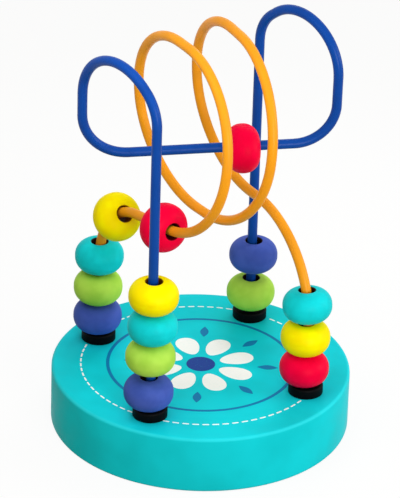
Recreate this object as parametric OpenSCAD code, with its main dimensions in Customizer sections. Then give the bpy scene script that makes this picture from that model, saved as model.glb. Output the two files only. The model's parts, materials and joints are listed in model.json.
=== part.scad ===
// Bead maze: a turned wooden base, two bent steel wires and fifteen wooden beads.
// Millimetres, +Z up, origin at the middle of the underside of the base.
// The blue wire runs between the front and back posts, the orange one between the left and right posts.
// A wire is given as on a bender's drawing: the corners where its straights would meet, and bend radii.

/* [Base] */
// Diameter of the turned base
base_d = 91; // [84:1:110]
// Thickness of the base
base_h = 18; // [14:0.5:26]
// Rounding of the upper edge
base_round = 1; // [0.5:0.25:4]
// Bevel of the lower edge
base_bevel = 0.8; // [0.2:0.1:2]

/* [Posts and collars] */
// Diameter of the circle that the four posts stand on
post_circle_d = 70; // [66:0.5:74]
// Diameter of a collar's flange
collar_d = 10.5; // [8.5:0.1:12]
// Height of a collar's flange
collar_h = 3.2; // [1.5:0.1:4]
// Bevel round the top of a flange
collar_bevel = 0.5; // [0.1:0.1:1]
// Diameter of a collar's shank in the base
shank_d = 6.4; // [5:0.1:8]
// Length of a collar's shank in the base
shank_l = 10; // [6:0.5:13]

/* [Wire] */
// Diameter of both wires
wire_d = 3; // [2:0.1:3.5]

/* [Blue wire] */
// Height of the corner above the front post
front_shoulder_z = 118.6; // [112:0.1:124]
// Bend radius of that corner
front_shoulder_r = 13.2; // [8:0.1:13.5]
// Height of the front loop's upper corner
front_crown_z = 144.4; // [138:0.1:150]
// Distance of that corner from the middle
front_crown_reach = 38.3; // [36:0.1:40]
// Heading of that corner in degrees
front_crown_heading = -141.1; // [-146:0.1:-136]
// Bend radius of that corner
front_crown_r = 17.8; // [12:0.1:18]
// Distance of the front loop's lower corner from the middle
front_toe_reach = 37.3; // [34:0.1:40]
// Heading of that corner in degrees
front_toe_heading = -150; // [-155:0.1:-145]
// Bend radius of that corner
front_toe_r = 14.3; // [8:0.1:18]
// Height of the corner above the back post
back_shoulder_z = 118.9; // [112:0.1:124]
// Bend radius of that corner
back_shoulder_r = 12.6; // [8:0.1:13.5]
// Height of the back loop's upper corner
back_crown_z = 144.8; // [138:0.1:150]
// Distance of that corner from the middle
back_crown_reach = 39.1; // [36:0.1:41]
// Heading of that corner in degrees
back_crown_heading = 37.2; // [32:0.1:42]
// Bend radius of that corner
back_crown_r = 15.8; // [12:0.1:17]
// Distance of the back loop's lower corner from the middle
back_toe_reach = 39.5; // [36:0.1:41]
// Heading of that corner in degrees
back_toe_heading = 40.9; // [36:0.1:46]
// Bend radius of that corner
back_toe_r = 12.4; // [8:0.1:16]
// Height of the level run between the two loops
run_z = 89.6; // [86:0.1:94]

/* [Orange wire] */
// Height of the corner above the left post
left_shoulder_z = 66.3; // [63:0.1:70]
// Bend radius of that corner
left_shoulder_r = 22; // [16:0.5:24]
// Height of the corner above the right post
right_shoulder_z = 71.1; // [68:0.1:74]
// Bend radius of that corner
right_shoulder_r = 30; // [24:0.5:30.5]
// Heading of the coil's axis in degrees
coil_heading = 59.7; // [56:0.1:63]
// Half the width of the coil between its corners
coil_half_w = 29.9; // [29.5:0.1:33]
// Shift of the coil to its far side
coil_side_shift = 0.6; // [0:0.1:1.5]
// Height of the coil's lower corners
coil_low_z = 70.7; // [68:0.1:71]
// Height of the coil's upper corners
coil_top_z = 126.7; // [126.4:0.1:132]
// Height of the corner where the wire enters the coil
coil_entry_z = 74.2; // [71:0.1:74.6]
// Bend radius of the coil's corners
coil_r = 27.9; // [22:0.1:28]
// Lead of the coil along its axis within one side
coil_lead = 5.2; // [3:0.1:7]
// Place of the first side along the coil's axis, behind its middle
first_side_back = 13.4; // [12:0.1:15]
// Place of the second side along the coil's axis, behind its middle
second_side_back = 4.5; // [3:0.1:6]
// Place of the third side along the coil's axis, ahead of its middle
third_side_ahead = 2.2; // [1:0.1:4]
// Place of the fourth side along the coil's axis, ahead of its middle
fourth_side_ahead = 16.5; // [15:0.1:18]

/* [Beads] */
// Diameter of a bead
bead_d = 15; // [12:0.1:16]
// Length of a bead along its bore
bead_l = 9.8; // [8:0.1:10.4]
// Rounding of a bead's rim into its ends
bead_round = 4.6; // [3:0.1:4.8]
// Diameter of a bead's bore
bead_bore = 5; // [4.8:0.05:5.6]
// Bevel at each mouth of the bore
bead_lip = 0.4; // [0.1:0.05:0.8]

/* [Places of the beads] */
// Gap under the front post's green bead
front_green_gap = 2.3; // [0.2:0.1:6]
// Gap under the front post's turquoise bead
front_turquoise_gap = 0.3; // [0.2:0.1:6]
// Gap under the front post's yellow bead
front_yellow_gap = 0.3; // [0.2:0.1:6]
// Gap under the back post's green bead
back_green_gap = 0.9; // [0.2:0.1:6]
// Gap under the back post's indigo bead
back_indigo_gap = 3.1; // [0.2:0.1:10]
// Gap under the left post's turquoise bead
left_turquoise_gap = 0.5; // [0.3:0.1:2.4]
// Wire between the left post's turquoise bead and the yellow bead on the bend
left_yellow_gap = 10.2; // [8:0.1:11.5]
// Tip of that yellow bead, from the wire towards level, in degrees
left_yellow_tip = 5; // [0:0.5:6]
// Wire between the yellow bead on the bend and the red bead before the coil
left_red_gap = 16; // [14:0.1:16.6]
// Gap under the right post's yellow bead
right_yellow_gap = 0.7; // [0.2:0.1:3]
// Tip of the turquoise bead on the right bend, from the wire towards upright, in degrees
right_turquoise_tip = 6.5; // [0:0.5:7.5]
// Gap under that bead
right_turquoise_gap = 0.7; // [0.7:0.1:8]
// Place of the red bead on the level run, from the run's middle towards the back loop
run_red_ahead = 9.4; // [-18:0.1:18]

/* [Clearances] */
// Gap all round a shank in the base and a wire in its collar
fit_gap = 0.05; // [0.02:0.01:0.15]
// Gap between a bead's bore and the wire that it leans or hangs on
seat_gap = 0.3; // [0.15:0.05:0.5]
// Gap between pieces that rest on each other
rest_gap = 0.2; // [0.1:0.05:0.4]

/* [Hidden] */
$fn = 64;

// Straights are this much thinner than the bends, all round, and reach this far into them
straight_ease = 0.02;
straight_lap = 0.4;
// Depth that a cut runs past the face it opens
overrun = 1;
// Width that a bead's rounding leaves plain on its ends and, twice over, on its rim
bead_land = 0.1;

// Headings of the posts, and of each bead's lean on its post, in degrees
front_heading = -90;
back_heading = 90;
left_heading = 180;
right_heading = 0;
front_leans = [-120, -87, -50, -44];
back_leans = [-57, -20];
left_leans = [-98, -98, -155];
right_leans = [-155, -155];

turquoise = "#27cfd8";
indigo = "#435ab0";
green = "#a3d354";
yellow = "#f8e30a";
red = "#ee0c3f";
black = "#0b0d12";
blue_paint = "#1450a6";
orange_paint = "#f5a433";

post_r = post_circle_d / 2;
foot_z = base_h - shank_l;
bead_play = bead_bore / 2 - wire_d / 2 - seat_gap;
bead_corner_r = min(bead_round, bead_l / 2 - bead_land, (bead_d - bead_bore) / 2 - bead_lip - bead_land);
coil_tilt = coil_lead / 2;

function polar(reach, heading, z) = [reach * cos(heading), reach * sin(heading), z];
function unit(v) = v / norm(v);
function reversed(list) = [for (i = [len(list) - 1 : -1 : 0]) list[i]];
function side_of_coil(ahead, side, z) =
  polar(ahead, coil_heading, z) + polar(side * coil_half_w - coil_side_shift, coil_heading - 90, 0);

blue_points = [
  polar(post_r, front_heading, foot_z),
  polar(post_r, front_heading, front_shoulder_z),
  polar(front_crown_reach, front_crown_heading, front_crown_z),
  polar(front_toe_reach, front_toe_heading, run_z),
  polar(back_toe_reach, back_toe_heading, run_z),
  polar(back_crown_reach, back_crown_heading, back_crown_z),
  polar(post_r, back_heading, back_shoulder_z),
  polar(post_r, back_heading, foot_z)
];
blue_radii = [
  0, front_shoulder_r, front_crown_r, front_toe_r, back_toe_r, back_crown_r, back_shoulder_r, 0
];
orange_points = [
  polar(post_r, left_heading, foot_z),
  polar(post_r, left_heading, left_shoulder_z),
  side_of_coil(-first_side_back - coil_tilt, 1, coil_entry_z),
  side_of_coil(-first_side_back + coil_tilt, 1, coil_top_z),
  side_of_coil(-second_side_back - coil_tilt, -1, coil_top_z),
  side_of_coil(-second_side_back + coil_tilt, -1, coil_low_z),
  side_of_coil(third_side_ahead - coil_tilt, 1, coil_low_z),
  side_of_coil(third_side_ahead + coil_tilt, 1, coil_top_z),
  side_of_coil(fourth_side_ahead - coil_tilt, -1, coil_top_z),
  side_of_coil(fourth_side_ahead + coil_tilt, -1, coil_low_z),
  polar(post_r, right_heading, right_shoulder_z),
  polar(post_r, right_heading, foot_z)
];
orange_radii = concat([0, left_shoulder_r], [for (i = [1 : 8]) coil_r], [right_shoulder_r, 0]);

// Geometry of a route p with radii r: its legs, its bends, and the place at a length s along it
function leg_dir(p, i) = unit(p[i + 1] - p[i]);
function turn(p, i) = acos(leg_dir(p, i - 1) * leg_dir(p, i));
function setback(p, r, i) = r[i] == 0 ? 0 : r[i] * tan(turn(p, i) / 2);
function leg_len(p, r, i) = norm(p[i + 1] - p[i]) - setback(p, r, i) - setback(p, r, i + 1);
function bend_len(p, r, i) = r[i] * turn(p, i) * PI / 180;
function leg_start(p, r, i) = p[i] + leg_dir(p, i) * setback(p, r, i);
function bend_start(p, r, i) = p[i] - leg_dir(p, i - 1) * setback(p, r, i);
function bend_side(p, i) = unit(leg_dir(p, i) - leg_dir(p, i - 1) * (leg_dir(p, i - 1) * leg_dir(p, i)));
function bend_centre(p, r, i) = bend_start(p, r, i) + bend_side(p, i) * r[i];
function on_leg(p, r, i, s) = [leg_start(p, r, i) + leg_dir(p, i) * s, leg_dir(p, i)];
function on_bend(p, r, i, a) = [
  bend_centre(p, r, i) + (leg_dir(p, i - 1) * sin(a) - bend_side(p, i) * cos(a)) * r[i],
  leg_dir(p, i - 1) * cos(a) + bend_side(p, i) * sin(a)
];
function place_at(p, r, s, i = 0) =
  s <= leg_len(p, r, i) || i == len(p) - 2
    ? on_leg(p, r, i, s)
    : s - leg_len(p, r, i) <= bend_len(p, r, i + 1)
      ? on_bend(p, r, i + 1, (s - leg_len(p, r, i)) / r[i + 1] * 180 / PI)
      : place_at(p, r, s - leg_len(p, r, i) - bend_len(p, r, i + 1), i + 1);

// A frame whose third axis is v, and the rise of a bend over half a bead
function frame(x, y, z, o) = [[x.x, y.x, z.x, o.x], [x.y, y.y, z.y, o.y], [x.z, y.z, z.z, o.z], [0, 0, 0, 1]];
function square_to(v) = abs(v.z) < cos(30) ? unit(cross([0, 0, 1], v)) : unit(cross([1, 0, 0], v));
function facing(v, o) = frame(square_to(v), cross(v, square_to(v)), v, o);
function bend_rise(r) = bead_l * bead_l / (8 * r);
function downhill(v) = unit([v.x * v.z, v.y * v.z, v.z * v.z - 1]);

// Lengths from a wire's foot to the middle of each bead
collar_top_s = shank_l + collar_h;
first_s = collar_top_s + rest_gap + bead_l / 2;
front_green_s = first_s + bead_l + front_green_gap;
front_turquoise_s = front_green_s + bead_l + front_turquoise_gap;
front_yellow_s = front_turquoise_s + bead_l + front_yellow_gap;
back_green_s = collar_top_s + back_green_gap + bead_l / 2;
back_indigo_s = back_green_s + bead_l + back_indigo_gap;
left_green_s = first_s + bead_l + rest_gap;
left_turquoise_s = left_green_s + bead_l + left_turquoise_gap;
left_yellow_s = left_turquoise_s + bead_l + left_yellow_gap;
left_red_s = left_yellow_s + bead_l + left_red_gap;
right_yellow_s = first_s + bead_l + right_yellow_gap;
right_turquoise_s = right_yellow_s + bead_l + right_turquoise_gap;
run_leg = 3;
run_red_s = leg_len(blue_points, blue_radii, run_leg) / 2 + run_red_ahead;

module straight(p, r, i) {
  lap_in = i == 0 ? 0 : straight_lap;
  lap_out = i == len(p) - 2 ? 0 : straight_lap;
  v = leg_dir(p, i);
  multmatrix(facing(v, leg_start(p, r, i) - v * lap_in))
    cylinder(d = wire_d - 2 * straight_ease, h = leg_len(p, r, i) + lap_in + lap_out);
}

module bend(p, r, i) {
  v = leg_dir(p, i - 1);
  out = -bend_side(p, i);
  multmatrix(frame(out, v, cross(out, v), bend_centre(p, r, i)))
    rotate_extrude(angle = turn(p, i))
      translate([r[i], 0])
        circle(d = wire_d);
}

module bent_wire(p, r) {
  for (i = [0 : len(p) - 2]) straight(p, r, i);
  for (i = [1 : len(p) - 2]) bend(p, r, i);
}

module rounded_corner(r) {
  intersection() {
    circle(r = r);
    square(r);
  }
}

// The section of a bead has bevelled mouths, flat ends, and a rim that is rounded into both ends
module bead_section() {
  bore_r = bead_bore / 2;
  rim_r = bead_d / 2;
  end = bead_l / 2;
  polygon([
    [bore_r, bead_lip - end], [bore_r + bead_lip, -end], [rim_r - bead_corner_r, -end],
    [rim_r - bead_corner_r, bead_corner_r - end], [rim_r, bead_corner_r - end],
    [rim_r, end - bead_corner_r], [rim_r - bead_corner_r, end - bead_corner_r],
    [rim_r - bead_corner_r, end], [bore_r + bead_lip, end], [bore_r, end - bead_lip]
  ]);
  translate([rim_r - bead_corner_r, end - bead_corner_r]) rounded_corner(bead_corner_r);
  translate([rim_r - bead_corner_r, bead_corner_r - end]) rotate(-90) rounded_corner(bead_corner_r);
}

module bead() rotate_extrude() bead_section();

// A bead on a post leans against it by the play in its bore, or by less where the wire starts to bend
module post_bead(p, r, s, lean, play = bead_play) {
  spot = place_at(p, r, s);
  multmatrix(facing(spot[1], spot[0] + polar(play, lean, 0))) bead();
}

// A bead on a slope hangs from the wire, and may tip in its play, towards upright or, below 0, towards level
module hung_bead(spot, tip = 0, play = bead_play) {
  down = downhill(spot[1]);
  multmatrix(facing(spot[1] * cos(tip) - down * sin(tip), spot[0] + down * play)) bead();
}

module collar(heading) {
  translate(polar(post_r, heading, 0))
    difference() {
      union() {
        translate([0, 0, foot_z]) cylinder(d = shank_d, h = shank_l);
        translate([0, 0, base_h]) cylinder(d = collar_d, h = collar_h - collar_bevel);
        translate([0, 0, base_h + collar_h - collar_bevel])
          cylinder(d1 = collar_d, d2 = collar_d - 2 * collar_bevel, h = collar_bevel);
      }
      translate([0, 0, foot_z - overrun])
        cylinder(d = wire_d + 2 * fit_gap, h = shank_l + collar_h + 2 * overrun);
    }
}

module base_section() {
  base_r = base_d / 2;
  polygon([
    [0, 0], [base_r - base_bevel, 0], [base_r, base_bevel], [base_r, base_h - base_round],
    [base_r - base_round, base_h - base_round], [base_r - base_round, base_h], [0, base_h]
  ]);
  translate([base_r - base_round, base_h - base_round]) rounded_corner(base_round);
}

module turned_base() {
  color(turquoise)
    difference() {
      rotate_extrude() base_section();
      for (heading = [front_heading, back_heading, left_heading, right_heading])
        translate(polar(post_r, heading, foot_z))
          cylinder(d = shank_d + 2 * fit_gap, h = shank_l + overrun);
    }
}

module front_collar() color(black) collar(front_heading);
module back_collar() color(black) collar(back_heading);
module left_collar() color(black) collar(left_heading);
module right_collar() color(black) collar(right_heading);

module blue_wire() color(blue_paint) bent_wire(blue_points, blue_radii);
module orange_wire() color(orange_paint) bent_wire(orange_points, orange_radii);

module front_indigo_bead()
  color(indigo) post_bead(blue_points, blue_radii, first_s, front_leans[0]);
module front_green_bead()
  color(green) post_bead(blue_points, blue_radii, front_green_s, front_leans[1]);
module front_turquoise_bead()
  color(turquoise) post_bead(blue_points, blue_radii, front_turquoise_s, front_leans[2]);
module front_yellow_bead()
  color(yellow) post_bead(blue_points, blue_radii, front_yellow_s, front_leans[3]);

module back_green_bead()
  color(green) post_bead(reversed(blue_points), reversed(blue_radii), back_green_s, back_leans[0]);
module back_indigo_bead()
  color(indigo) post_bead(reversed(blue_points), reversed(blue_radii), back_indigo_s, back_leans[1]);

module left_indigo_bead()
  color(indigo) post_bead(orange_points, orange_radii, first_s, left_leans[0]);
module left_green_bead()
  color(green) post_bead(orange_points, orange_radii, left_green_s, left_leans[1]);
module left_turquoise_bead()
  color(turquoise)
    post_bead(orange_points, orange_radii, left_turquoise_s, left_leans[2],
      bead_play - bend_rise(left_shoulder_r));
module left_bend_yellow_bead()
  color(yellow) hung_bead(place_at(orange_points, orange_radii, left_yellow_s), -left_yellow_tip);
module coil_entry_red_bead()
  color(red) hung_bead(place_at(orange_points, orange_radii, left_red_s), play = bead_play / 4);

module right_red_bead()
  color(red) post_bead(reversed(orange_points), reversed(orange_radii), first_s, right_leans[0]);
module right_yellow_bead()
  color(yellow) post_bead(reversed(orange_points), reversed(orange_radii), right_yellow_s, right_leans[1]);
module right_bend_turquoise_bead()
  color(turquoise)
    hung_bead(place_at(reversed(orange_points), reversed(orange_radii), right_turquoise_s),
      right_turquoise_tip, bead_play / 2);

module level_run_red_bead()
  color(red) hung_bead(on_leg(blue_points, blue_radii, run_leg, run_red_s));

turned_base();
front_collar();
back_collar();
left_collar();
right_collar();
blue_wire();
orange_wire();
front_indigo_bead();
front_green_bead();
front_turquoise_bead();
front_yellow_bead();
back_green_bead();
back_indigo_bead();
left_indigo_bead();
left_green_bead();
left_turquoise_bead();
left_bend_yellow_bead();
coil_entry_red_bead();
right_red_bead();
right_yellow_bead();
right_bend_turquoise_bead();
level_run_red_bead();
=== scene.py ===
"""Looks of a small bead maze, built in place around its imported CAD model.

The base, the collars and the beads are turned again in fine meshes over their CAD solids, the design on
the base is a thin film of printed ink, and the two bent wires keep their CAD meshes. Sizes here are in
millimetres unless they say metres, and MM turns them to the metres of the frame.
"""

import json
import logging
import math
from dataclasses import dataclass
from enum import Enum
from typing import Any, Mapping, Sequence

import bmesh
import bpy
import numpy as np
from mathutils import Matrix, Vector, noise


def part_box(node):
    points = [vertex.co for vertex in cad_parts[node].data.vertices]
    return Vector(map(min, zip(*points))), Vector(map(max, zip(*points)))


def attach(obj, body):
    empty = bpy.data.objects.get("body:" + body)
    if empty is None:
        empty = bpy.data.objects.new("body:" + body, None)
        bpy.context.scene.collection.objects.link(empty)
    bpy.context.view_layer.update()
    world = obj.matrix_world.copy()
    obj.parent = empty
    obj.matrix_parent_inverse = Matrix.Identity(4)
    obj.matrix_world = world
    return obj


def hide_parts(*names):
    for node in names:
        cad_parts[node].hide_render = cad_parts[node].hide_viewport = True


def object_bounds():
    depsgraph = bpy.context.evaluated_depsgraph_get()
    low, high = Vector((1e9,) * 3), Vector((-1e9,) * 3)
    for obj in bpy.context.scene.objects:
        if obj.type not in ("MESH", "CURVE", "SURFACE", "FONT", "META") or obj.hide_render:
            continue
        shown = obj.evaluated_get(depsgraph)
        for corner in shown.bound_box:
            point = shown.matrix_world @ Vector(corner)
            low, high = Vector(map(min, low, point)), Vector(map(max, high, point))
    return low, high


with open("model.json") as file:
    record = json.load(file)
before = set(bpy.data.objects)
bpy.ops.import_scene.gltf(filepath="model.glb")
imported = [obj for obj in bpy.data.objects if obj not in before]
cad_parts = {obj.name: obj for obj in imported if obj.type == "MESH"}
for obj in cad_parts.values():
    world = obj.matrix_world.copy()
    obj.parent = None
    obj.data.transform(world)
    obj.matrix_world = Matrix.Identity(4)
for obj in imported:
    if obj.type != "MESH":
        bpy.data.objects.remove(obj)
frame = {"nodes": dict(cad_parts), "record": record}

CAD_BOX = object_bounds()
MM = 0.001
LOG = logging.getLogger("bead_maze")

RECORD = frame["record"]
BODY_OF = {node: body for body, nodes in RECORD["behaviour"]["bodies"].items() for node in nodes}
SLOT_OF = {row["node"]: row["material_slot"] for row in RECORD["subparts"]}

# Sockets of Blender's Mix node that take and give a colour
MIX_FACTOR = 0
MIX_A = 6
MIX_B = 7
MIX_OUT = 2

# The sRGB curve: a straight foot, and a power above it
SRGB_STEPS = 255
SRGB_FOOT = 0.04045
SRGB_SLOPE = 12.92
SRGB_OFFSET = 0.055
SRGB_POWER = 2.4

# White that lights up by itself, and the strength at which it renders as white
PLAIN_WHITE = "#ffffff"
WHITE_STRENGTH = 1.0

# How finely a noise is broken up, in octaves, and the range that its values mostly fill
PLAIN = 1.0
SOFT = 2.0
FINE = 3.0
NOISE_LOW = 0.3
NOISE_HIGH = 0.7

# Index of refraction of paint, powder coat, plastic and ink, which are all resins
RESIN_IOR = 1.5

# Keeps the level part of a vector
LEVEL = (1.0, 1.0, 0.0)

# Edges that turn by more than this many degrees stay sharp, on turned pieces and on films of ink
TURNED_SHARP = 35.0
FILM_SHARP = 30.0

Point = tuple[float, float]
Rgba = tuple[float, float, float, float]


def linear(colour: str) -> Rgba:
    """Turns an sRGB colour to the linear one that Blender's sockets take.

    Args:
        colour: sRGB hex value, such as "#27cfd8".

    Returns:
        Linear red, green and blue, with an alpha of 1.
    """
    shares = [value / SRGB_STEPS for value in bytes.fromhex(colour.removeprefix("#"))]
    red, green, blue = (
        s / SRGB_SLOPE if s <= SRGB_FOOT else ((s + SRGB_OFFSET) / (1 + SRGB_OFFSET)) ** SRGB_POWER
        for s in shares
    )
    return red, green, blue, 1.0


def per_metre(size: float) -> float:
    """Gives the scale of a noise whose features are `size` millimetres across."""
    return 1 / (size * MM)


def add_node(
    tree: bpy.types.NodeTree,
    kind: str,
    inputs: Mapping[str | int, Any] | None = None,
    **settings: Any,
) -> bpy.types.Node:
    """Adds a shader node with its settings and links.

    Args:
        tree: The node tree that takes it.
        kind: Blender's name for the kind of node.
        inputs: For each input, by name or number, the socket that feeds it or its fixed value.
        **settings: The node's own properties.

    Returns:
        The new node.
    """
    node = tree.nodes.new(kind)
    for name, value in settings.items():
        setattr(node, name, value)
    for key, value in (inputs or {}).items():
        if isinstance(value, bpy.types.NodeSocket):
            tree.links.new(value, node.inputs[key])
        else:
            node.inputs[key].default_value = value
    return node


def new_material(name: str) -> tuple[bpy.types.Material, bpy.types.NodeTree]:
    """Makes a material with an empty node tree.

    Args:
        name: What the material is and how it was made.

    Returns:
        The material and its tree.
    """
    material = bpy.data.materials.new(name)
    material.use_nodes = True
    material.node_tree.nodes.clear()
    return material, material.node_tree


def surface(tree: bpy.types.NodeTree, shader: bpy.types.Node) -> None:
    """Makes a shader the surface of its material."""
    add_node(tree, "ShaderNodeOutputMaterial", {"Surface": shader.outputs[0]})


def own_place(tree: bpy.types.NodeTree) -> tuple[bpy.types.NodeSocket, bpy.types.NodeSocket]:
    """Gives a piece's own coordinates, and the same shifted by chance so that no two share a pattern.

    Args:
        tree: The material's tree.

    Returns:
        The plain coordinates and the shifted ones.
    """
    plain = add_node(tree, "ShaderNodeTexCoord").outputs["Object"]
    chance = add_node(tree, "ShaderNodeObjectInfo").outputs["Random"]
    shifted = add_node(tree, "ShaderNodeVectorMath", {0: plain, 1: chance}, operation="ADD")
    return plain, shifted.outputs["Vector"]


def from_axis(tree: bpy.types.NodeTree, plain: bpy.types.NodeSocket) -> bpy.types.NodeSocket:
    """Gives each point's distance from the piece's own upright axis.

    Args:
        tree: The material's tree.
        plain: The piece's own coordinates, not shifted.

    Returns:
        The socket that holds the distance, in metres.
    """
    level = add_node(tree, "ShaderNodeVectorMath", {0: plain, 1: LEVEL}, operation="MULTIPLY")
    reach = add_node(tree, "ShaderNodeVectorMath", {0: level.outputs["Vector"]}, operation="LENGTH")
    return reach.outputs["Value"]


def arc(centre: Point, radius: float, start: float, end: float, steps: int) -> list[Point]:
    """Gives points along an arc of a profile.

    Args:
        centre: The arc's centre.
        radius: Its radius.
        start: Angle of its first point, in degrees.
        end: Angle of its last point, in degrees.
        steps: Number of stretches between the points.

    Returns:
        The points, both ends included.
    """
    angles = [math.radians(start + (end - start) * i / steps) for i in range(steps + 1)]
    return [(centre[0] + radius * math.cos(a), centre[1] + radius * math.sin(a)) for a in angles]


def finished(name: str, build: bmesh.types.BMesh, sharp: float) -> bpy.types.Object:
    """Turns a mesh in the making into an object of the scene.

    Args:
        name: Name of the piece.
        build: The mesh, in metres.
        sharp: Edges that turn by more than this many degrees stay sharp.

    Returns:
        The object, at the origin.
    """
    bmesh.ops.recalc_face_normals(build, faces=build.faces)
    mesh = bpy.data.meshes.new(name)
    build.to_mesh(mesh)
    build.free()
    mesh.polygons.foreach_set("use_smooth", [True] * len(mesh.polygons))
    mesh.set_sharp_from_angle(angle=math.radians(sharp))
    piece = bpy.data.objects.new(name, mesh)
    bpy.context.scene.collection.objects.link(piece)
    return piece


def lathe(name: str, profile: Sequence[Point], segments: int, closed: bool) -> bpy.types.Object:
    """Turns a profile about the Z axis.

    Args:
        name: Name of the piece.
        profile: Its radius and height at each point, in millimetres. A radius of 0 makes a pole.
        segments: Number of faces round the axis.
        closed: Whether the last point joins the first, as on a ring.

    Returns:
        The turned piece.
    """
    build = bmesh.new()
    angles = [math.tau * i / segments for i in range(segments)]
    rings = []
    for radius, height in profile:
        spots = angles if radius > 0 else angles[:1]
        r, z = radius * MM, height * MM
        rings.append([build.verts.new((r * math.cos(a), r * math.sin(a), z)) for a in spots])
    for lower, upper in zip(rings, rings[1:] + rings[:1] if closed else rings[1:]):
        for i in range(segments):
            j = (i + 1) % segments
            under = [lower[i % len(lower)], lower[j % len(lower)]]
            over = [upper[j % len(upper)], upper[i % len(upper)]]
            build.faces.new(list(dict.fromkeys(under + over)))
    return finished(name, build, TURNED_SHARP)


def film(name: str, outlines: Sequence[Sequence[Point]], low: float, high: float) -> bpy.types.Object:
    """Makes one piece of flat closed shapes, as printed ink lies on a board.

    Args:
        name: Name of the piece.
        outlines: The shapes' corners, in millimetres.
        low: Height of the film's underside.
        high: Height of its face.

    Returns:
        The film.
    """
    build = bmesh.new()
    for outline in outlines:
        under = [build.verts.new((x * MM, y * MM, low * MM)) for x, y in outline]
        over = [build.verts.new((x * MM, y * MM, high * MM)) for x, y in outline]
        build.faces.new(over)
        build.faces.new(under[::-1])
        for i in range(len(outline)):
            j = (i + 1) % len(outline)
            build.faces.new((under[i], under[j], over[j], over[i]))
    return finished(name, build, FILM_SHARP)


def paint(piece: bpy.types.Object, material: bpy.types.Material) -> None:
    """Gives a piece one material all over."""
    piece.data.materials.clear()
    piece.data.materials.append(material)


def stand_for(piece: bpy.types.Object, node: str) -> None:
    """Lets a piece take a CAD node's place on its body, and hides the node.

    Args:
        piece: The piece.
        node: The CAD node.
    """
    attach(piece, BODY_OF[node])
    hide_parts(node)
    LOG.info("%s stands for %s", piece.name, node)


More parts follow.
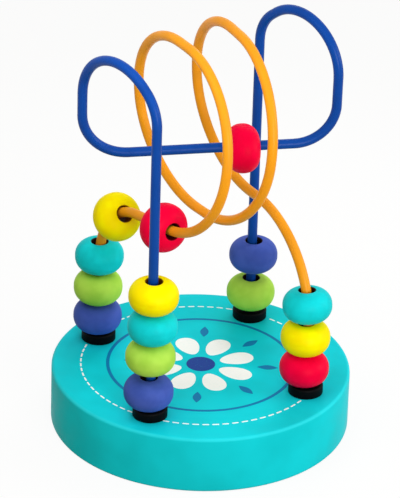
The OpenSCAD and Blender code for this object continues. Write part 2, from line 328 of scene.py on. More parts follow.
@dataclass(frozen=True)
class PaintedBeech:
    """Beech, turned and sanded, under two coats of opaque water-based toy paint.

    The paint hides the wood's colour. The eye gets an even, saturated colour with soft patches where the
    film is a little thinner, a broad low sheen, and the faint lines of the grain standing through it.

    Attributes:
        name: Name of the material.
        full: Colour of a full coat.
        thin: Colour where the film is thinner.
        roughness: Roughness of the dry film.
        handling: How much the roughness rises and falls from handling.
        specular: Specular level, below 0.5 because toy paint dries nearly matt.
        patch: Size of the soft patches.
        grain: Width of a grain line. Beech's pores are about 0.1 mm, and are drawn this coarse to show.
        grain_strength: Share of the grain's relief that stands through the film.
        stretch: Share of the grain's scale along each axis, small along the grain.
        relief: Height of the grain's lines.
        peel: Width of the film's fine dimples.
        peel_strength: Share of the relief that the dimples have.
    """

    name: str
    full: str
    thin: str
    roughness: float = 0.45
    handling: float = 0.07
    specular: float = 0.04
    patch: float = 5.0
    grain: float = 0.8
    grain_strength: float = 0.35
    stretch: tuple[float, float, float] = (1.0, 1.0, 0.1)
    relief: float = 0.03
    peel: float = 0.45
    peel_strength: float = 0.25

    def film_colour(self, tree: bpy.types.NodeTree, place: bpy.types.NodeSocket) -> bpy.types.NodeSocket:
        """Gives the paint's colour, full or thin, over the piece.

        Args:
            tree: The material's tree.
            place: The piece's own coordinates.

        Returns:
            The socket that holds the colour.
        """
        patches = add_node(
            tree,
            "ShaderNodeTexNoise",
            {"Vector": place, "Scale": per_metre(self.patch), "Detail": SOFT},
        )
        cover = add_node(
            tree,
            "ShaderNodeMapRange",
            {"Value": patches.outputs["Fac"], "From Min": NOISE_LOW, "From Max": NOISE_HIGH},
            interpolation_type="SMOOTHSTEP",
        )
        colours = {MIX_FACTOR: cover.outputs["Result"], MIX_A: linear(self.thin), MIX_B: linear(self.full)}
        return add_node(tree, "ShaderNodeMix", colours, data_type="RGBA").outputs[MIX_OUT]

    def relief_of(self, tree: bpy.types.NodeTree, place: bpy.types.NodeSocket) -> bpy.types.NodeSocket:
        """Gives the surface's small relief: grain under the film, and the film's own dimples.

        Args:
            tree: The material's tree.
            place: The piece's own coordinates.

        Returns:
            The socket that holds the bumped normal.
        """
        along = add_node(tree, "ShaderNodeMapping", {"Vector": place, "Scale": self.stretch})
        lines = add_node(
            tree,
            "ShaderNodeTexNoise",
            {"Vector": along.outputs["Vector"], "Scale": per_metre(self.grain), "Detail": FINE},
        )
        grain = add_node(
            tree,
            "ShaderNodeBump",
            {
                "Strength": self.grain_strength,
                "Distance": self.relief * MM,
                "Height": lines.outputs["Fac"],
            },
        )
        dimples = add_node(
            tree,
            "ShaderNodeTexNoise",
            {"Vector": place, "Scale": per_metre(self.peel), "Detail": PLAIN},
        )
        peel = add_node(
            tree,
            "ShaderNodeBump",
            {
                "Strength": self.peel_strength,
                "Distance": self.relief * MM,
                "Height": dimples.outputs["Fac"],
                "Normal": grain.outputs["Normal"],
            },
        )
        return peel.outputs["Normal"]

    def sheen_of(self, tree: bpy.types.NodeTree, place: bpy.types.NodeSocket) -> bpy.types.NodeSocket:
        """Gives the film's roughness, a little uneven from handling.

        Args:
            tree: The material's tree.
            place: The piece's own coordinates.

        Returns:
            The socket that holds the roughness.
        """
        smears = add_node(
            tree,
            "ShaderNodeTexNoise",
            {"Vector": place, "Scale": per_metre(self.patch / 2), "Detail": FINE},
        )
        spread = add_node(
            tree,
            "ShaderNodeMapRange",
            {
                "Value": smears.outputs["Fac"],
                "From Min": NOISE_LOW,
                "From Max": NOISE_HIGH,
                "To Min": self.roughness - self.handling,
                "To Max": self.roughness + self.handling,
            },
        )
        return spread.outputs["Result"]

    def shader(
        self,
        tree: bpy.types.NodeTree,
        colour: bpy.types.NodeSocket,
        place: bpy.types.NodeSocket,
    ) -> None:
        """Finishes the material with the film's shader.

        Args:
            tree: The material's tree.
            colour: The colour over the piece.
            place: The piece's own coordinates.
        """
        shader = add_node(
            tree,
            "ShaderNodeBsdfPrincipled",
            {
                "Base Color": colour,
                "Roughness": self.sheen_of(tree, place),
                "Normal": self.relief_of(tree, place),
                "IOR": RESIN_IOR,
                "Specular IOR Level": self.specular,
            },
        )
        surface(tree, shader)


@dataclass(frozen=True)
class BoardPaint(PaintedBeech):
    """The same paint on the base, lighter round the upper edge: a painted highlight, and paint rubbed thin
    there.

    Attributes:
        edge: Lighter colour on the upper edge, standing for a painted highlight and for thin paint.
        highlight_and_wear: Share of that colour where the painted highlight is strongest.
        crest: Share of the edge's rounding, in from the side and from the top, where the painted highlight
            is strongest.
    """

    edge: str = "#4fe3ea"
    highlight_and_wear: float = 0.25
    crest: float = 0.25

    def material(self, radius: float, height: float, rounding: float) -> bpy.types.Material:
        """Makes the base's material.

        Args:
            radius: Radius of the base.
            height: Its height.
            rounding: Radius of its upper edge.

        Returns:
            The material.
        """
        material, tree = new_material(self.name)
        plain, place = own_place(tree)
        axes = add_node(tree, "ShaderNodeSeparateXYZ", {"Vector": plain})
        out = add_node(
            tree,
            "ShaderNodeMapRange",
            {
                "Value": from_axis(tree, plain),
                "From Min": (radius - rounding) * MM,
                "From Max": (radius - rounding * self.crest) * MM,
            },
        )
        up = add_node(
            tree,
            "ShaderNodeMapRange",
            {
                "Value": axes.outputs["Z"],
                "From Min": (height - rounding) * MM,
                "From Max": (height - rounding * self.crest) * MM,
            },
        )
        # Lighter colour on the upper edge's rounding: a painted highlight, with the paint thin there.
        edge = add_node(
            tree,
            "ShaderNodeMath",
            {0: out.outputs["Result"], 1: up.outputs["Result"]},
            operation="MULTIPLY",
        )
        highlight_and_wear_share = add_node(
            tree,
            "ShaderNodeMath",
            {0: edge.outputs["Value"], 1: self.highlight_and_wear},
            operation="MULTIPLY",
        )
        colour = add_node(
            tree,
            "ShaderNodeMix",
            {
                MIX_FACTOR: highlight_and_wear_share.outputs["Value"],
                MIX_A: self.film_colour(tree, place),
                MIX_B: linear(self.edge),
            },
            data_type="RGBA",
        )
        self.shader(tree, colour.outputs[MIX_OUT], place)
        return material


@dataclass(frozen=True)
class BeadPaint(PaintedBeech):
    """The same paint on a bead, tumbled in it, with a dark bore: painted shade over wood that the paint
    stained.

    Attributes:
        bore_shade_and_stain: Dark colour in the bore, painted shade over stained wood.
        rim: Width over which the paint gives way to the bore's dark colour, at the bore's mouth.
        rim_start: Share of that width, from the bore, that has the dark colour only.
    """

    bore_shade_and_stain: str = "#2b1a10"
    rim: float = 0.35
    rim_start: float = 0.25

    def material(self, bore: float) -> bpy.types.Material:
        """Makes a bead's material.

        Args:
            bore: Diameter of the bead's bore.

        Returns:
            The material.
        """
        material, tree = new_material(self.name)
        plain, place = own_place(tree)
        # Dark colour in the bore: painted shade in the recess, over stained wood.
        painted = add_node(
            tree,
            "ShaderNodeMapRange",
            {
                "Value": from_axis(tree, plain),
                "From Min": (bore / 2 + self.rim * self.rim_start) * MM,
                "From Max": (bore / 2 + self.rim) * MM,
            },
        )
        colour = add_node(
            tree,
            "ShaderNodeMix",
            {
                MIX_FACTOR: painted.outputs["Result"],
                MIX_A: linear(self.bore_shade_and_stain),
                MIX_B: self.film_colour(tree, place),
            },
            data_type="RGBA",
        )
        self.shader(tree, colour.outputs[MIX_OUT], place)
        return material


@dataclass(frozen=True)
class PowderCoat:
    """Steel wire, bent cold and powder-coated in the oven.

    The coat flows out to a smooth satin gloss with fine orange peel. The eye gets a deep even colour, a soft
    light line along the wire, and small dull patches where beads have run.

    Attributes:
        name: Name of the material.
        full: Colour of the coat.
        dull: Colour of the patches where beads have run.
        roughness: Typical roughness of the coat.
        sleek: How much smoother it is where no bead has run.
        scuff: How much rougher it is where beads have run most.
        specular: Specular level of the coat.
        peel: Width of a dimple of the orange peel. A real one is about 0.3 mm, and is drawn coarser to show.
        depth: Depth of a dimple.
        peel_strength: Share of that depth that shows.
        rub: Length of a dull patch.
        rub_from: Value of the noise at which a dull patch begins.
        rub_full: Value of the noise at which it is fully dull.
    """

    name: str
    full: str
    dull: str
    roughness: float = 0.36
    sleek: float = 0.05
    scuff: float = 0.1
    specular: float = 0.12
    peel: float = 0.7
    depth: float = 0.02
    peel_strength: float = 0.4
    rub: float = 7.0
    rub_from: float = 0.4
    rub_full: float = 0.75

    def material(self) -> bpy.types.Material:
        """Makes the wire's material.

        Returns:
            The material.
        """
        material, tree = new_material(self.name)
        place = add_node(tree, "ShaderNodeTexCoord").outputs["Object"]
        rubbed = add_node(
            tree,
            "ShaderNodeTexNoise",
            {"Vector": place, "Scale": per_metre(self.rub), "Detail": FINE},
        )
        share = add_node(
            tree,
            "ShaderNodeMapRange",
            {"Value": rubbed.outputs["Fac"], "From Min": self.rub_from, "From Max": self.rub_full},
            interpolation_type="SMOOTHSTEP",
        )
        colour = add_node(
            tree,
            "ShaderNodeMix",
            {MIX_FACTOR: share.outputs["Result"], MIX_A: linear(self.full), MIX_B: linear(self.dull)},
            data_type="RGBA",
        )
        sheen = add_node(
            tree,
            "ShaderNodeMapRange",
            {
                "Value": share.outputs["Result"],
                "To Min": self.roughness - self.sleek,
                "To Max": self.roughness + self.scuff,
            },
        )
        dimples = add_node(
            tree,
            "ShaderNodeTexNoise",
            {"Vector": place, "Scale": per_metre(self.peel), "Detail": PLAIN},
        )
        bump = add_node(
            tree,
            "ShaderNodeBump",
            {
                "Strength": self.peel_strength,
                "Distance": self.depth * MM,
                "Height": dimples.outputs["Fac"],
            },
        )
        shader = add_node(
            tree,
            "ShaderNodeBsdfPrincipled",
            {
                "Base Color": colour.outputs[MIX_OUT],
                "Roughness": sheen.outputs["Result"],
                "Normal": bump.outputs["Normal"],
                "IOR": RESIN_IOR,
                "Specular IOR Level": self.specular,
            },
        )
        surface(tree, shader)
        return material


@dataclass(frozen=True)
class MouldedAbs:
    """ABS, injection-moulded in a spark-eroded tool.

    The eye gets near black with a fine dull grain and a faint grey sheen on the round of the edge.

    Attributes:
        name: Name of the material.
        full: Colour of the plastic.
        dusty: Colour where dust and handling have greyed it.
        roughness: Roughness of the moulded face.
        specular: Specular level of the face.
        spark: Width of a pit of the tool's grain, drawn coarse so that it shows.
        depth: Depth of a pit.
        spark_strength: Share of that depth that shows.
    """

    name: str
    full: str
    dusty: str
    roughness: float = 0.5
    specular: float = 0.05
    spark: float = 0.4
    depth: float = 0.02
    spark_strength: float = 0.4

    def material(self) -> bpy.types.Material:
        """Makes the collars' material.

        Returns:
            The material.
        """
        material, tree = new_material(self.name)
        place = add_node(tree, "ShaderNodeTexCoord").outputs["Object"]
        pits = add_node(
            tree,
            "ShaderNodeTexNoise",
            {"Vector": place, "Scale": per_metre(self.spark), "Detail": SOFT},
        )
        colour = add_node(
            tree,
            "ShaderNodeMix",
            {MIX_FACTOR: pits.outputs["Fac"], MIX_A: linear(self.full), MIX_B: linear(self.dusty)},
            data_type="RGBA",
        )
        bump = add_node(
            tree,
            "ShaderNodeBump",
            {
                "Strength": self.spark_strength,
                "Distance": self.depth * MM,
                "Height": pits.outputs["Fac"],
            },
        )
        shader = add_node(
            tree,
            "ShaderNodeBsdfPrincipled",
            {
                "Base Color": colour.outputs[MIX_OUT],
                "Roughness": self.roughness,
                "Normal": bump.outputs["Normal"],
                "IOR": RESIN_IOR,
                "Specular IOR Level": self.specular,
            },
        )
        surface(tree, shader)
        return material


class Ink(Enum):
    """Colours of the screen inks on the base."""

    WHITE = "#fcfeff"
    BLUE = "#0b78b0"
    NAVY = "#1c3f94"


@dataclass(frozen=True)
class PrintedInk:
    """Opaque screen ink, pressed through a mesh on to the painted base.

    The eye gets a flat matt colour, a shade thinner in the dots that the mesh leaves.

    Attributes:
        ink: Which of the inks it is.
        ground: Colour of the paint that shows through where the ink is thin.
        dot: Spacing of the screen's dots. A real one is about 0.15 mm, and is drawn this coarse to show.
        dot_from: Value of the noise at which the ink begins to thin.
        dot_full: Value of the noise at which it is thinnest.
        through: Share of the ground that shows through at most.
        roughness: Roughness of the dry ink.
        specular: Specular level of the dry ink.
    """

    ink: Ink
    ground: str
    dot: float = 0.6
    dot_from: float = 0.55
    dot_full: float = 0.8
    through: float = 0.12
    roughness: float = 0.55
    specular: float = 0.12

    def material(self) -> bpy.types.Material:
        """Makes the ink's material.

        Returns:
            The material.
        """
        material, tree = new_material(f"screen_ink_{self.ink.name.lower()}")
        place = add_node(tree, "ShaderNodeTexCoord").outputs["Object"]
        dots = add_node(
            tree,
            "ShaderNodeTexNoise",
            {"Vector": place, "Scale": per_metre(self.dot), "Detail": SOFT},
        )
        thin = add_node(
            tree,
            "ShaderNodeMapRange",
            {
                "Value": dots.outputs["Fac"],
                "From Min": self.dot_from,
                "From Max": self.dot_full,
                "To Max": self.through,
            },
        )
        colour = add_node(
            tree,
            "ShaderNodeMix",
            {
                MIX_FACTOR: thin.outputs["Result"],
                MIX_A: linear(self.ink.value),
                MIX_B: linear(self.ground),
            },
            data_type="RGBA",
        )
        shader = add_node(
            tree,
            "ShaderNodeBsdfPrincipled",
            {
                "Base Color": colour.outputs[MIX_OUT],
                "Roughness": self.roughness,
                "IOR": RESIN_IOR,
                "Specular IOR Level": self.specular,
            },
        )
        surface(tree, shader)
        return material


BASE_PAINT = BoardPaint(
    "painted_beech_board",
    full="#14d5e4",
    thin="#11cad8",
    patch=14.0,
    grain=1.1,
    stretch=(0.06, 1.0, 1.0),
    specular=0.03,
)
# Each bore's dark colour, tinted to its bead's paint, is painted shade over stained wood.
BEAD_PAINTS = {
    "bead_indigo": BeadPaint("painted_beech_indigo", full="#465cb6", thin="#3d53aa"),
    "bead_green": BeadPaint("painted_beech_green", full="#b4e155", thin="#a6d74a"),
    "bead_turquoise": BeadPaint("painted_beech_turquoise", full="#13d5df", thin="#10c7d0"),
    "bead_yellow": BeadPaint("painted_beech_yellow", full="#fef000", thin="#fbe200", bore_shade_and_stain="#7a4308"),
    "bead_red": BeadPaint("painted_beech_red", full="#f8003e", thin="#ec0038", bore_shade_and_stain="#56060f"),
}
WIRE_COATS = {
    "blue_wire": PowderCoat("powder_coat_blue", full="#07449e", dull="#0a3f93"),
    "orange_wire": PowderCoat("powder_coat_orange", full="#f29d1b", dull="#e99823"),
}
COLLAR_PLASTIC = MouldedAbs("moulded_abs_black", full="#020203", dusty="#060709")


@dataclass
class TurnedBase:
    """The round base, turned from a board and painted.

    Attributes:
        node: The CAD node that it stands for.
        rounding: Radius of the upper edge.
        bevel: Rounding of the lower edge.
        margin: Width of the ring of faces beside each edge.
        segments: Faces round the axis.
        rounding_steps: Faces along the upper edge's rounding.
        bevel_steps: Faces along the lower edge's rounding.
    """

    node: str = "turned_base"
    rounding: float = 1.0
    bevel: float = 0.8
    margin: float = 2.0
    segments: int = 192
    rounding_steps: int = 12
    bevel_steps: int = 6

    def __post_init__(self) -> None:
        """Takes the base's size from the frame."""
        low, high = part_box(self.node)
        self.radius: float = (high.x - low.x) / 2 / MM
        self.height: float = high.z / MM

    def profile(self) -> list[Point]:
        """Gives the base's section.

        Returns:
            Its points, from the middle of the underside to the middle of the top.
        """
        foot = arc((self.radius - self.bevel, self.bevel), self.bevel, -90, 0, self.bevel_steps)
        corner = (self.radius - self.rounding, self.height - self.rounding)
        rim = arc(corner, self.rounding, 0, 90, self.rounding_steps)
        inside = self.radius - self.margin
        return [(0, 0), (inside, 0), *foot, *rim, (inside, self.height), (0, self.height)]

    def build(self) -> bpy.types.Object:
        """Turns the base and paints it.

        Returns:
            The base, in its place.
        """
        piece = lathe("painted_base", self.profile(), self.segments, closed=False)
        paint(piece, BASE_PAINT.material(self.radius, self.height, self.rounding))
        stand_for(piece, self.node)
        return piece


@dataclass
class TopPrint:
    """The design printed on the base: a dashed ring near the rim, and a flower in a thin ring.

    Attributes:
        base: The base that it is printed on.
        ink_depth: Height of the ink on the base, drawn above the real 0.02 mm so that its edge holds.
        dash_ring_r: Radius of the dashed ring.
        dash_count: Number of dashes in the whole ring.
        dash_turn: Place of the first dash, as a share of the step between dashes.
        dash_l: Length of a dash.
        dash_w: Width of a dash.
        dash_clear: Dashes whose middle lies this near to a post are left out, as its collar covers them.
        cap_steps: Stretches along a dash's round end.
        ring_r: Radius of the thin ring.
        ring_w: Width of its line.
        ring_segments: Faces round the thin ring.
        petal_count: Number of petals, and of leaves.
        petal_reach: Distance of a petal's middle from the flower's middle.
        petal_l: Length of a petal.
        petal_w: Width of a petal.
        petal_swell: Share by which a petal is wider outwards.
        petal_points: Points along a petal's outline.
        eye_r: Radius of the flower's eye.
        eye_points: Points along the eye's outline.
        leaf_reach: Distance of a leaf's middle from the flower's middle.
        leaf_turn: Place of the first leaf, as a share of the step between leaves.
        leaf_l: Length of a leaf.
        leaf_w: Width of a leaf.
        leaf_steps: Stretches along one side of a leaf.
    """

    base: TurnedBase
    ink_depth: float = 0.05
    dash_ring_r: float = 36.6
    dash_count: int = 77
    dash_turn: float = 0.735
    dash_l: float = 2.05
    dash_w: float = 0.5
    dash_clear: float = 5.6
    cap_steps: int = 6
    ring_r: float = 28.4
    ring_w: float = 1.0
    ring_segments: int = 160
    petal_count: int = 8
    petal_reach: float = 11.6
    petal_l: float = 10.6
    petal_w: float = 6.8
    petal_swell: float = 0.22
    petal_points: int = 40
    eye_r: float = 4.4
    eye_points: int = 48
    leaf_reach: float = 20.4
    leaf_turn: float = 0.5
    leaf_l: float = 6.4
    leaf_w: float = 2.6
    leaf_steps: int = 16

    def around(self, outline: Sequence[Point], reach: float, turn: float = 0.0) -> list[list[Point]]:
        """Sets a copy of an outline at each of the flower's petals, or turned from them.

        Args:
            outline: The shape, with its own middle at the origin and its length along x.
            reach: Distance of its middle from the flower's middle.
            turn: Place of the first copy, as a share of the step between copies.

        Returns:
            The outlines.
        """
        shapes = []
        for i in range(self.petal_count):
            angle = math.tau * (i + turn) / self.petal_count
            c, s = math.cos(angle), math.sin(angle)
            shapes.append([((reach + x) * c - y * s, (reach + x) * s + y * c) for x, y in outline])
        return shapes

    def dashes(self) -> list[list[Point]]:
        """Gives the ring's dashes, round-ended and bent along the ring.

        Returns:
            Their outlines, without those under the collars.
        """
        half = (self.dash_l - self.dash_w) / 2
        far_cap = arc((0, half), self.dash_w / 2, 0, 180, self.cap_steps)
        near_cap = arc((0, -half), self.dash_w / 2, 180, 360, self.cap_steps)
        posts = [sum(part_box(n), Vector()) / 2 / MM for n in SLOT_OF if n.endswith("_collar")]
        shapes = []
        for i in range(self.dash_count):
            middle = math.tau * (i + self.dash_turn) / self.dash_count
            spot = Vector((self.dash_ring_r * math.cos(middle), self.dash_ring_r * math.sin(middle)))
            if min((spot - post.to_2d()).length for post in posts) < self.dash_clear:
                continue
            bent = [(self.dash_ring_r + x, middle + y / self.dash_ring_r) for x, y in far_cap + near_cap]
            shapes.append([(r * math.cos(a), r * math.sin(a)) for r, a in bent])
        return shapes

    def petal(self) -> list[Point]:
        """Gives one petal, wider outwards.

        Returns:
            Its outline, with its middle at the origin.
        """
        turns = [math.tau * i / self.petal_points for i in range(self.petal_points)]
        return [
            (
                self.petal_l / 2 * math.cos(t),
                self.petal_w / 2 * math.sin(t) * (1 + self.petal_swell * math.cos(t)),
            )
            for t in turns
        ]

    def leaf(self) -> list[Point]:
        """Gives one leaf, pointed at both ends.

        Returns:
            Its outline, with its middle at the origin.
        """
        steps = [i / self.leaf_steps for i in range(self.leaf_steps + 1)]
        upper = [(self.leaf_l * (s - 0.5), self.leaf_w / 2 * math.sin(math.pi * s)) for s in steps]
        return upper + [(x, -y) for x, y in upper[-2:0:-1]]

    def eye(self) -> list[Point]:
        """Gives the outline of the flower's round eye."""
        return arc((0, 0), self.eye_r, 0, 360 - 360 / self.eye_points, self.eye_points - 1)

    def build(self) -> list[bpy.types.Object]:
        """Prints the design on the base.

        Returns:
            The films of ink, in their places.
        """
        low = self.base.height - self.ink_depth
        high = self.base.height + self.ink_depth
        inner = self.ring_r - self.ring_w / 2
        outer = self.ring_r + self.ring_w / 2
        line = [(inner, low), (outer, low), (outer, high), (inner, high)]
        petals = self.around(self.petal(), self.petal_reach)
        leaves = self.around(self.leaf(), self.leaf_reach, self.leaf_turn)
        prints = {
            Ink.WHITE: [
                film("dashed_ring_print", self.dashes(), low, high),
                film("petals_print", petals, low, high),
            ],
            Ink.BLUE: [
                lathe("thin_ring_print", line, self.ring_segments, closed=True),
                film("leaves_print", leaves, low, high),
            ],
            Ink.NAVY: [film("flower_eye_print", [self.eye()], low, high)],
        }
        for ink, pieces in prints.items():
            material = PrintedInk(ink, BASE_PAINT.full).material()
            for piece in pieces:
                paint(piece, material)
                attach(piece, BODY_OF[self.base.node])
                LOG.info("%s is printed on %s", piece.name, self.base.node)
        return [piece for pieces in prints.values() for piece in pieces]


@dataclass
class Collar:
    """A moulded collar where a wire enters the base.

    Attributes:
        node: The CAD node that it stands for.
        base_top: Height of the base's top.
        wire_d: Diameter of the wire in it.
        round_top: Rounding of the flange's upper edge.
        foot: Rounding of the flange's lower edge.
        well: Depth of the dish round the wire.
        well_reach: Width of the dish, as a multiple of its depth.
        sink: Depth that the collar reaches below the base's top here.
        segments: Faces round the axis.
        top_steps: Faces along the upper edge's rounding.
        foot_steps: Faces along the lower edge's rounding.
    """

    node: str
    base_top: float
    wire_d: float = 3.0
    round_top: float = 0.8
    foot: float = 0.25
    well: float = 0.35
    well_reach: float = 3.0
    sink: float = 1.0
    segments: int = 64
    top_steps: int = 8
    foot_steps: int = 4

    def build(self, material: bpy.types.Material) -> bpy.types.Object:
        """Turns the collar's flange.

        Args:
            material: The collars' plastic.

        Returns:
            The collar, in its place.
        """
        low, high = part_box(self.node)
        radius = (high.x - low.x) / 2 / MM
        top = high.z / MM
        bore = self.wire_d / 2
        inside = radius - 2 * self.foot
        foot = (radius - self.foot, self.base_top + self.foot)
        corner = (radius - self.round_top, top - self.round_top)
        profile = [
            (bore, self.base_top - self.sink),
            (inside, self.base_top - self.sink),
            (inside, self.base_top),
            *arc(foot, self.foot, -90, 0, self.foot_steps),
            *arc(corner, self.round_top, 0, 90, self.top_steps),
            (bore + self.well_reach * self.well, top),
            (bore + self.well, top - self.well / 2),
            (bore, top - self.well),
        ]
        piece = lathe(self.node.replace("collar", "moulded_collar"), profile, self.segments, closed=True)
        piece.location = ((low.x + high.x) / 2, (low.y + high.y) / 2, 0)
        paint(piece, material)
        stand_for(piece, self.node)
        return piece


@dataclass
class Bead:
    """A turned bead, over the CAD bead whose place, lean and size it takes.

    Attributes:
        node: The CAD node that it stands for.
        order: Its number on the toy, which gives it an unevenness of its own.
        rounding: Rounding of the rim into the ends, as on the CAD bead.
        lip: Rounding of the bore's mouth.
        hand: Depth of the soft unevenness that sanding and tumbling leave.
        swell: Width of that unevenness.
        segments: Faces round the axis.
        rim_steps: Faces along the rim's rounding into an end.
        lip_steps: Faces along the rounding of a mouth.
    """

    node: str
    order: int
    rounding: float = 4.6
    lip: float = 0.4
    hand: float = 0.05
    swell: float = 4.0
    segments: int = 72
    rim_steps: int = 18
    lip_steps: int = 6

    def __post_init__(self) -> None:
        """Measures the CAD bead: its middle, its axis, and its radius, length and bore."""
        mesh = frame["nodes"][self.node].data
        low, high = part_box(self.node)
        self.middle: Vector = (low + high) / 2
        faces = np.array([[*(face.center - self.middle), face.area] for face in mesh.polygons])
        spread = (faces[:, :3] * faces[:, 3:]).T @ faces[:, :3]
        self.axis: Vector = Vector(np.linalg.eigh(spread)[1][:, 0])
        points = np.array([v.co - self.middle for v in mesh.vertices])
        along = points @ np.array(self.axis)
        reach = np.linalg.norm(points - np.outer(along, self.axis), axis=1)
        self.half_length: float = float(np.abs(along).max()) / MM
        self.radius: float = float(reach.max()) / MM
        self.bore: float = 2 * float(reach.min()) / MM

    def profile(self) -> list[Point]:
        """Gives the bead's section: its round rim, and a rounded lip at each mouth of its bore.

        Returns:
            Its points, from the lower mouth round the rim to the upper mouth.
        """
        corner = (self.radius - self.rounding, self.half_length - self.rounding)
        mouth = (self.bore / 2 + self.lip, self.half_length - self.lip)
        rim = arc(corner, self.rounding, 0, 90, self.rim_steps)
        upper = rim + arc(mouth, self.lip, 90, 180, self.lip_steps)
        lower = [(radius, -height) for radius, height in reversed(upper)]
        return [*lower, *upper]

    def soften(self, piece: bpy.types.Object) -> None:
        """Presses soft unevenness into the bead's rim, and leaves its bore true.

        Args:
            piece: The bead, upright at the origin.
        """
        offset = Vector((self.order, 0, 0))
        for vertex in piece.data.vertices:
            reach = vertex.co.to_2d().length / MM
            share = min(1, max(0, (reach - self.bore / 2 - self.lip) / self.lip))
            dip = (noise.noise(vertex.co / (self.swell * MM) + offset) - 1) / 2
            vertex.co += vertex.co.normalized() * (dip * share * self.hand * MM)

    def build(self, materials: Mapping[str, bpy.types.Material]) -> bpy.types.Object:
        """Turns the bead, sets it on its wire and paints it.

        Args:
            materials: Each bead slot's paint.

        Returns:
            The bead, in its place.
        """
        piece = lathe(f"turned_{self.node}", self.profile(), self.segments, closed=True)
        self.soften(piece)
        lean = self.axis.to_track_quat("Z", "Y").to_matrix().to_4x4()
        piece.matrix_world = Matrix.Translation(self.middle) @ lean
        paint(piece, materials[SLOT_OF[self.node]])
        stand_for(piece, self.node)
        return piece


@dataclass
class BentWire:
    """A bent wire, which keeps its CAD mesh and gets its coat.

    Attributes:
        node: The CAD node.
        coat: Its powder coat.
    """

    node: str
    coat: PowderCoat

    def build(self) -> bpy.types.Object:
        """Coats the wire.

        Returns:
            The CAD wire.
        """
        wire = frame["nodes"][self.node]
        paint(wire, self.coat.material())
        LOG.info("%s keeps its CAD mesh", self.node)
        return wire


@dataclass(frozen=True)
class Viewpoint:
    """The photograph's viewpoint.

    Attributes:
        azimuth: Degrees round from the front towards +X.
        elevation: Degrees above the table.
        roll: Degrees that the camera is turned about its own axis.
        distance: Distance from the point that it looks at.
        height: Height of that point on the toy's axis.
        right: How far the frame's middle lies to the right of that point.
        up: How far the frame's middle lies above that point.
        lens: Focal length on Blender's 36 mm sensor.
        far: Farthest distance that the camera sees, in metres.
    """

    azimuth: float = 24.84
    elevation: float = 27.71
    roll: float = 1.81
    distance: float = 1176.0
    height: float = 60.0
    right: float = -1.41
    up: float = -2.09
    lens: float = 283.4
    far: float = 20.0

    def build(self) -> bpy.types.Object:
        """Sets up the camera and makes it the scene's own.

        Returns:
            The camera.
        """
        turn = (
            Matrix.Rotation(math.radians(self.azimuth), 4, "Z")
            @ Matrix.Rotation(math.radians(90 - self.elevation), 4, "X")
            @ Matrix.Rotation(math.radians(self.roll), 4, "Z")
        )
        stand = Matrix.Translation(Vector((self.right, self.up, self.distance)) * MM)
        data = bpy.data.cameras.new("photo_camera")
        data.lens = self.lens
        data.clip_end = self.far
        camera = bpy.data.objects.new("photo_camera", data)
        camera.matrix_world = Matrix.Translation(Vector((0, 0, self.height)) * MM) @ turn @ stand
        bpy.context.scene.collection.objects.link(camera)
        bpy.context.scene.camera = camera
        return camera


@dataclass(frozen=True)
class Softbox:
    """A square soft light that faces the toy.

    Attributes:
        name: Name of the light.
        azimuth: Degrees round from the front towards +X.
        elevation: Degrees above the table.
        distance: Distance from the toy's middle, in metres.
        side: Length of a side, in metres.
        watts: Power of the light.
        shine: Whether it gives highlights. A light that hangs close over the wires gives none.
    """

    name: str
    azimuth: float
    elevation: float
    distance: float
    side: float
    watts: float
    shine: bool = True

    def build(self, target: Vector) -> bpy.types.Object:
        """Hangs the light.

        Args:
            target: The point that it faces.

        Returns:
            The light.
        """
        turn, rise = math.radians(self.azimuth), math.radians(self.elevation)
        level = math.cos(rise)
        away = Vector((math.sin(turn) * level, -math.cos(turn) * level, math.sin(rise)))
        data = bpy.data.lights.new(self.name, "AREA")
        data.size = self.side
        data.energy = self.watts
        light = bpy.data.objects.new(self.name, data)
        light.visible_camera = False
        light.visible_glossy = self.shine
        facing = away.to_track_quat("Z", "Y").to_matrix().to_4x4()
        light.matrix_world = Matrix.Translation(target + away * self.distance) @ facing
        bpy.context.scene.collection.objects.link(light)
        return light


SOFTBOXES = (
    Softbox("key_softbox", azimuth=48, elevation=13, distance=0.5, side=0.22, watts=1.2),
    Softbox("side_softbox", azimuth=112, elevation=14, distance=0.6, side=0.3, watts=1.2),
    Softbox("top_softbox", azimuth=-10, elevation=58, distance=0.17, side=0.12, watts=0.135, shine=False),
    Softbox("back_softbox", azimuth=188, elevation=35, distance=0.2, side=0.12, watts=0.16, shine=False),
)


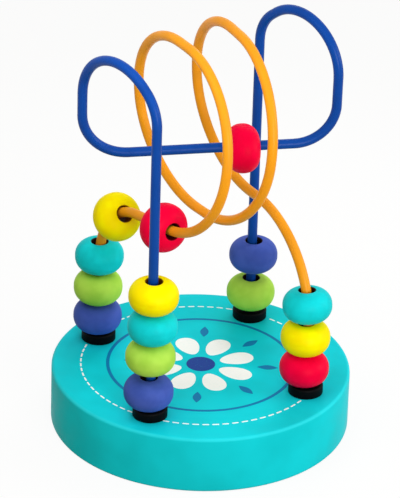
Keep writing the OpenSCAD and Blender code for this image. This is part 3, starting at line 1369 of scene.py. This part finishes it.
@dataclass(frozen=True)
class Studio:
    """A plain white table in soft light.

    Attributes:
        lights: The soft lights.
        floor_side: Side of the table top, in metres.
        floor_colour: Colour of the table as the camera sees it.
        bounce_colour: Colour of the table as the toy sees it, darker so that its shaded side stays shaded.
        glow: Share of plain white in the table as the camera sees it. The rest is its lit, shadowed face.
        ambient: Strength of the room's even light.
        room_colour: Colour of that light, warm as from pale walls.
        backdrop: Strength of the room where it is seen, which meets the table's far end without a line.
    """

    lights: Sequence[Softbox] = SOFTBOXES
    floor_side: float = 6.0
    floor_colour: str = "#f4f4f4"
    bounce_colour: str = "#8e8d70"
    glow: float = 0.92
    ambient: float = 0.46
    room_colour: str = "#fffff0"
    backdrop: float = 0.98

    def seen(self, tree: bpy.types.NodeTree) -> bpy.types.NodeSocket:
        """Gives 1 for rays from the camera, or that show the room in gloss or glass, and otherwise 0.

        Args:
            tree: The tree that asks.

        Returns:
            The socket that holds the answer.
        """
        path = add_node(tree, "ShaderNodeLightPath")
        direct = add_node(
            tree,
            "ShaderNodeMath",
            {0: path.outputs["Is Camera Ray"], 1: path.outputs["Is Glossy Ray"]},
            operation="MAXIMUM",
        )
        either = add_node(
            tree,
            "ShaderNodeMath",
            {0: direct.outputs["Value"], 1: path.outputs["Is Transmission Ray"]},
            operation="MAXIMUM",
        )
        return either.outputs["Value"]

    def floor_material(self) -> bpy.types.Material:
        """Makes the table's white, which keeps a soft shadow.

        Returns:
            The material.
        """
        material, tree = new_material("white_table")
        seen = self.seen(tree)
        colour = add_node(
            tree,
            "ShaderNodeMix",
            {MIX_FACTOR: seen, MIX_A: linear(self.bounce_colour), MIX_B: linear(self.floor_colour)},
            data_type="RGBA",
        )
        lit = add_node(tree, "ShaderNodeBsdfDiffuse", {"Color": colour.outputs[MIX_OUT]})
        white = add_node(
            tree,
            "ShaderNodeEmission",
            {"Color": linear(PLAIN_WHITE), "Strength": WHITE_STRENGTH},
        )
        share = add_node(tree, "ShaderNodeMath", {0: seen, 1: self.glow}, operation="MULTIPLY")
        mixed = add_node(
            tree,
            "ShaderNodeMixShader",
            {0: share.outputs["Value"], 1: lit.outputs["BSDF"], 2: white.outputs["Emission"]},
        )
        surface(tree, mixed)
        return material

    def build_floor(self) -> bpy.types.Object:
        """Lays the table under the toy.

        Returns:
            The table top.
        """
        half = self.floor_side / 2
        mesh = bpy.data.meshes.new("white_table")
        corners = [(-half, -half, 0), (half, -half, 0), (half, half, 0), (-half, half, 0)]
        mesh.from_pydata(corners, [], [(0, 1, 2, 3)])
        floor = bpy.data.objects.new("white_table", mesh)
        bpy.context.scene.collection.objects.link(floor)
        paint(floor, self.floor_material())
        return floor

    def build_room(self) -> None:
        """Fills the room with even warm light, and with plain white where it is seen."""
        world = bpy.data.worlds.new("white_room")
        world.use_nodes = True
        tree = world.node_tree
        tree.nodes.clear()
        seen = self.seen(tree)
        strength = add_node(
            tree,
            "ShaderNodeMapRange",
            {"Value": seen, "To Min": self.ambient, "To Max": self.backdrop},
        )
        colour = add_node(
            tree,
            "ShaderNodeMix",
            {MIX_FACTOR: seen, MIX_A: linear(self.room_colour), MIX_B: linear(PLAIN_WHITE)},
            data_type="RGBA",
        )
        light = add_node(
            tree,
            "ShaderNodeBackground",
            {"Color": colour.outputs[MIX_OUT], "Strength": strength.outputs["Result"]},
        )
        add_node(tree, "ShaderNodeOutputWorld", {"Surface": light.outputs["Background"]})
        bpy.context.scene.world = world

    def build(self) -> None:
        """Sets up the table, the room and the lights."""
        target = (CAD_BOX[0] + CAD_BOX[1]) / 2
        self.build_floor()
        self.build_room()
        for light in self.lights:
            light.build(target)


def main() -> None:
    """Builds the toy's looks, piece by piece, and the studio round it."""
    logging.basicConfig(level=logging.INFO, format="%(name)s: %(message)s")
    bpy.context.scene.view_settings.view_transform = "Standard"
    Viewpoint().build()
    Studio().build()
    base = TurnedBase()
    base.build()
    TopPrint(base).build()
    plastic = COLLAR_PLASTIC.material()
    for node in (n for n in SLOT_OF if n.endswith("_collar")):
        Collar(node, base.height).build(plastic)
    for node, coat in WIRE_COATS.items():
        BentWire(node, coat).build()
    beads = [Bead(node, order) for order, node in enumerate(n for n in SLOT_OF if n.endswith("_bead"))]
    paints = {slot: finish.material(beads[0].bore) for slot, finish in BEAD_PAINTS.items()}
    for bead in beads:
        bead.build(paints)


if __name__ == "__main__":
    main()
